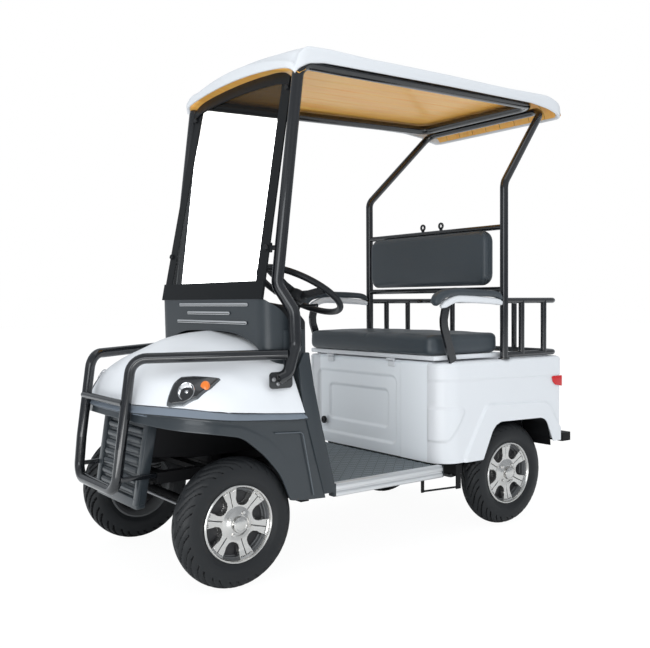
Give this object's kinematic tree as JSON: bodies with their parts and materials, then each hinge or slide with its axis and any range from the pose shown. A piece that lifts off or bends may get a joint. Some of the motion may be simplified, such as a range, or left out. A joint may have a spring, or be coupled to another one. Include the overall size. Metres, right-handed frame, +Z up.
{
  "type": "golf cart",
  "caption": "Electric two-seat golf cart with a wood-lined canopy, windscreen, bull bar, bench seat with backrest and armrests, and a railed cargo tub.",
  "frame": {"origin": "on the ground below the middle of the cart's box", "axes": "-Y points to the nose, +X to the driver's side, +Z up"},
  "size_m": [0.9807, 2.1958, 1.9898],
  "materials": {
    "black_steel": "satin",
    "ribbed_rubber": "matt ribbed",
    "ribbed_aluminium": "satin ribbed",
    "white_panel": "gloss",
    "grey_plastic": "satin gloss",
    "black_tube": "gloss",
    "dark_trim": "satin",
    "wood_liner": "satin",
    "clear_glass": "clear",
    "black_border": "gloss",
    "cowl_grey": "satin",
    "grip_black": "soft satin",
    "bare_steel": "satin",
    "tyre_rubber": "matt",
    "machined_alloy": "machined",
    "cast_metal": "cast",
    "battery_plastic": "matt",
    "slate_leather": "soft grain",
    "lamp_housing": "gloss with bright lamps",
    "red_lens": "gloss lens"
  },
  "bodies": {
    "cart": {"main_frame": "black_steel", "floor_pan": "black_steel", "floor_mat": "ribbed_rubber", "side_sills": "ribbed_aluminium", "hood": "white_panel", "front_fender": "grey_plastic", "nose_grille": "grey_plastic", "bull_bar": "black_tube", "scuttle_trims": "dark_trim", "roof_frame": "black_tube", "rear_frame": "black_tube", "roof_shell": "white_panel", "roof_liner": "wood_liner", "windscreen": "clear_glass", "windscreen_border": "black_border", "cowl_panel": "cowl_grey", "dashboard": "dark_trim", "steering_column": "dark_trim", "front_axle": "black_steel", "rear_axle": "black_steel", "drive_motor": "cast_metal", "rear_springs": "black_steel", "front_springs": "black_steel", "battery_pack": "battery_plastic", "rear_body": "white_panel", "backrest": "slate_leather", "left_armrest": "grip_black", "right_armrest": "grip_black", "cargo_rack": "black_tube", "headlamps": "lamp_housing", "tail_lamps": "red_lens", "pedals": "dark_trim", "rear_bumper": "black_tube"},
    "left_steering_knuckle": {"left_knuckle": "bare_steel"},
    "right_steering_knuckle": {"right_knuckle": "bare_steel"},
    "track_rod": {"tie_rod": "bare_steel"},
    "hand_wheel": {"steering_wheel": "grip_black"},
    "front_left_wheel": {"front_left_tyre": "tyre_rubber", "front_left_rim": "machined_alloy"},
    "front_right_wheel": {"front_right_tyre": "tyre_rubber", "front_right_rim": "machined_alloy"},
    "rear_left_wheel": {"rear_left_tyre": "tyre_rubber", "rear_left_rim": "machined_alloy"},
    "rear_right_wheel": {"rear_right_tyre": "tyre_rubber", "rear_right_rim": "machined_alloy"},
    "seat": {"seat_lid": "white_panel", "seat_cushion": "slate_leather"}
  },
  "joints": [
    {"name": "left_steer", "type": "hinge", "parent": "cart", "child": "left_steering_knuckle", "pos_m": [0.33, -0.742, 0.23], "axis": [0, 0, 1], "range_deg": [-30, 30]},
    {"name": "right_steer", "type": "hinge", "parent": "cart", "child": "right_steering_knuckle", "pos_m": [-0.33, -0.742, 0.23], "axis": [0, 0, 1], "range_deg": [-30, 30]},
    {"name": "track_rod_swing", "type": "hinge", "parent": "left_steering_knuckle", "child": "track_rod", "pos_m": [0.33, -0.852, 0.272], "axis": [0, 0, 1], "range_deg": [-30, 30]},
    {"name": "hand_wheel_turn", "type": "hinge", "parent": "cart", "child": "hand_wheel", "pos_m": [0.18, -0.29, 1.049], "axis": [0, 0.5, 0.866], "range_deg": [-300, 300]},
    {"name": "front_left_spin", "type": "hinge", "parent": "left_steering_knuckle", "child": "front_left_wheel", "pos_m": [0.405, -0.742, 0.23], "axis": [1, 0, 0], "continuous": true},
    {"name": "front_right_spin", "type": "hinge", "parent": "right_steering_knuckle", "child": "front_right_wheel", "pos_m": [-0.405, -0.742, 0.23], "axis": [1, 0, 0], "continuous": true},
    {"name": "rear_left_spin", "type": "hinge", "parent": "cart", "child": "rear_left_wheel", "pos_m": [0.4, 0.663, 0.23], "axis": [1, 0, 0], "continuous": true},
    {"name": "rear_right_spin", "type": "hinge", "parent": "cart", "child": "rear_right_wheel", "pos_m": [-0.4, 0.663, 0.23], "axis": [1, 0, 0], "continuous": true},
    {"name": "seat_hinge", "type": "hinge", "parent": "cart", "child": "seat", "pos_m": [0, 0.216, 0.746], "axis": [1, 0, 0], "range_deg": [0, 70]}
  ],
  "couplings": [
    {"joint": "right_steer", "follows": "left_steer", "ratio": 1},
    {"joint": "track_rod_swing", "follows": "left_steer", "ratio": -1},
    {"joint": "hand_wheel_turn", "follows": "left_steer", "ratio": 10}
  ]
}
